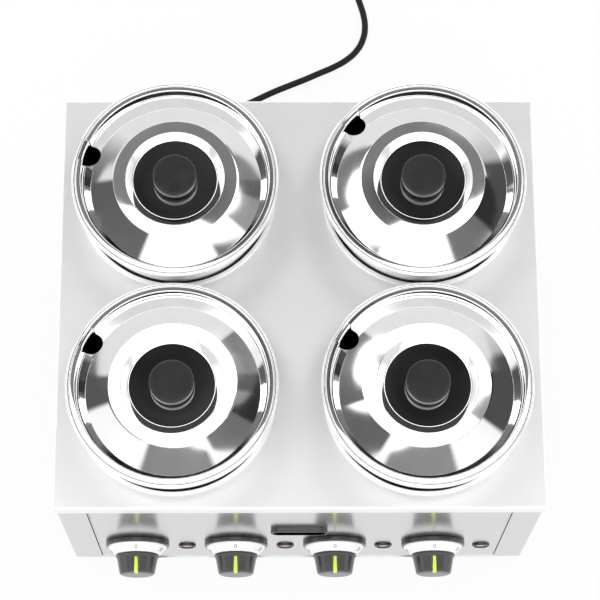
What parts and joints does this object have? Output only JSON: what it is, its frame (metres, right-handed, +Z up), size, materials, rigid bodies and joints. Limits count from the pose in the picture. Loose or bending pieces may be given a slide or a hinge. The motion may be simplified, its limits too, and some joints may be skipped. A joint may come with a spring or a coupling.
{
  "type": "bain marie with round pots",
  "caption": "Electric counter-top bain marie: round lidded soup pots sit in wells under a steel deck, with a thermostat knob and pilot lamp for each.",
  "frame": {"origin": "on the surface that the feet stand on, under the middle of the object's bounding box, the knobs included and the mains lead left out", "axes": "+X across the front to the right as a user at the knobs sees it, +Y from the front (knobs) to the back (mains lead), +Z up"},
  "size_m": [0.4, 0.696, 0.2653],
  "materials": {
    "brushed_deck": "fine brushed stainless sheet",
    "brushed_panel": "satin stainless sheet",
    "base_steel": "mill-finish steel sheet",
    "well_steel": "dull drawn stainless",
    "pot_steel": "polished drawn stainless",
    "lid_steel": "mirror-polished pressed stainless",
    "heater_alloy": "cast, dull",
    "fastener_steel": "zinc plated",
    "thermostat_resin": "moulded",
    "terminal_resin": "moulded",
    "knob_black": "satin moulded",
    "bezel_black": "satin moulded",
    "dial_silver": "light metallic paint",
    "pointer_lime": "moulded",
    "badge_black": "blank, gloss",
    "lens_red": "tinted lens",
    "foot_rubber": "moulded",
    "cord_rubber": "smooth sheath",
    "tie_black": "woven strap",
    "plug_black": "moulded"
  },
  "bodies": {
    "housing": {"deck": "brushed_deck", "shell": "brushed_panel", "control_panel": "brushed_panel", "base_plate": "base_steel", "feet": "foot_rubber", "screws": "fastener_steel", "badge": "badge_black", "bezel_rings": "bezel_black", "dials": "dial_silver", "lamp_bezels": "bezel_black", "lamp_lenses": "lens_red", "terminal_block": "terminal_resin", "cord_gland": "cord_rubber", "cord": "cord_rubber", "cord_coil": "cord_rubber", "cord_tie": "tie_black", "plug": "plug_black", "well_back_left": "well_steel", "well_back_right": "well_steel", "well_front_left": "well_steel", "well_front_right": "well_steel", "heater_back_left": "heater_alloy", "heater_back_right": "heater_alloy", "heater_front_left": "heater_alloy", "heater_front_right": "heater_alloy", "thermostat_1": "thermostat_resin", "thermostat_2": "thermostat_resin", "thermostat_3": "thermostat_resin", "thermostat_4": "thermostat_resin"},
    "pot_body_back_left": {"pot_back_left": "pot_steel"},
    "lid_body_back_left": {"lid_back_left": "lid_steel", "lid_knob_back_left": "knob_black", "lid_screw_back_left": "fastener_steel"},
    "pot_body_back_right": {"pot_back_right": "pot_steel"},
    "lid_body_back_right": {"lid_back_right": "lid_steel", "lid_knob_back_right": "knob_black", "lid_screw_back_right": "fastener_steel"},
    "pot_body_front_left": {"pot_front_left": "pot_steel"},
    "lid_body_front_left": {"lid_front_left": "lid_steel", "lid_knob_front_left": "knob_black", "lid_screw_front_left": "fastener_steel"},
    "pot_body_front_right": {"pot_front_right": "pot_steel"},
    "lid_body_front_right": {"lid_front_right": "lid_steel", "lid_knob_front_right": "knob_black", "lid_screw_front_right": "fastener_steel"},
    "knob_body_1": {"knob_1": "knob_black", "pointer_1": "pointer_lime", "spindle_1": "fastener_steel"},
    "knob_body_2": {"knob_2": "knob_black", "pointer_2": "pointer_lime", "spindle_2": "fastener_steel"},
    "knob_body_3": {"knob_3": "knob_black", "pointer_3": "pointer_lime", "spindle_3": "fastener_steel"},
    "knob_body_4": {"knob_4": "knob_black", "pointer_4": "pointer_lime", "spindle_4": "fastener_steel"}
  },
  "joints": [
    {"name": "pot_lift_back_left", "type": "slide", "parent": "housing", "child": "pot_body_back_left", "axis": [0, 0, 1], "range_m": [0, 0.16]},
    {"name": "lid_lift_back_left", "type": "slide", "parent": "pot_body_back_left", "child": "lid_body_back_left", "axis": [0, 0, 1], "range_m": [0, 0.1]},
    {"name": "pot_lift_back_right", "type": "slide", "parent": "housing", "child": "pot_body_back_right", "axis": [0, 0, 1], "range_m": [0, 0.16]},
    {"name": "lid_lift_back_right", "type": "slide", "parent": "pot_body_back_right", "child": "lid_body_back_right", "axis": [0, 0, 1], "range_m": [0, 0.1]},
    {"name": "pot_lift_front_left", "type": "slide", "parent": "housing", "child": "pot_body_front_left", "axis": [0, 0, 1], "range_m": [0, 0.16]},
    {"name": "lid_lift_front_left", "type": "slide", "parent": "pot_body_front_left", "child": "lid_body_front_left", "axis": [0, 0, 1], "range_m": [0, 0.1]},
    {"name": "pot_lift_front_right", "type": "slide", "parent": "housing", "child": "pot_body_front_right", "axis": [0, 0, 1], "range_m": [0, 0.16]},
    {"name": "lid_lift_front_right", "type": "slide", "parent": "pot_body_front_right", "child": "lid_body_front_right", "axis": [0, 0, 1], "range_m": [0, 0.1]},
    {"name": "knob_turn_1", "type": "hinge", "parent": "housing", "child": "knob_body_1", "pos_m": [-0.13945, -0.16325, 0.08], "axis": [0, 1, 0], "range_deg": [0, 270]},
    {"name": "knob_turn_2", "type": "hinge", "parent": "housing", "child": "knob_body_2", "pos_m": [-0.05425, -0.16325, 0.08], "axis": [0, 1, 0], "range_deg": [0, 270]},
    {"name": "knob_turn_3", "type": "hinge", "parent": "housing", "child": "knob_body_3", "pos_m": [0.03095, -0.16325, 0.08], "axis": [0, 1, 0], "range_deg": [0, 270]},
    {"name": "knob_turn_4", "type": "hinge", "parent": "housing", "child": "knob_body_4", "pos_m": [0.11615, -0.16325, 0.08], "axis": [0, 1, 0], "range_deg": [0, 270]}
  ]
}
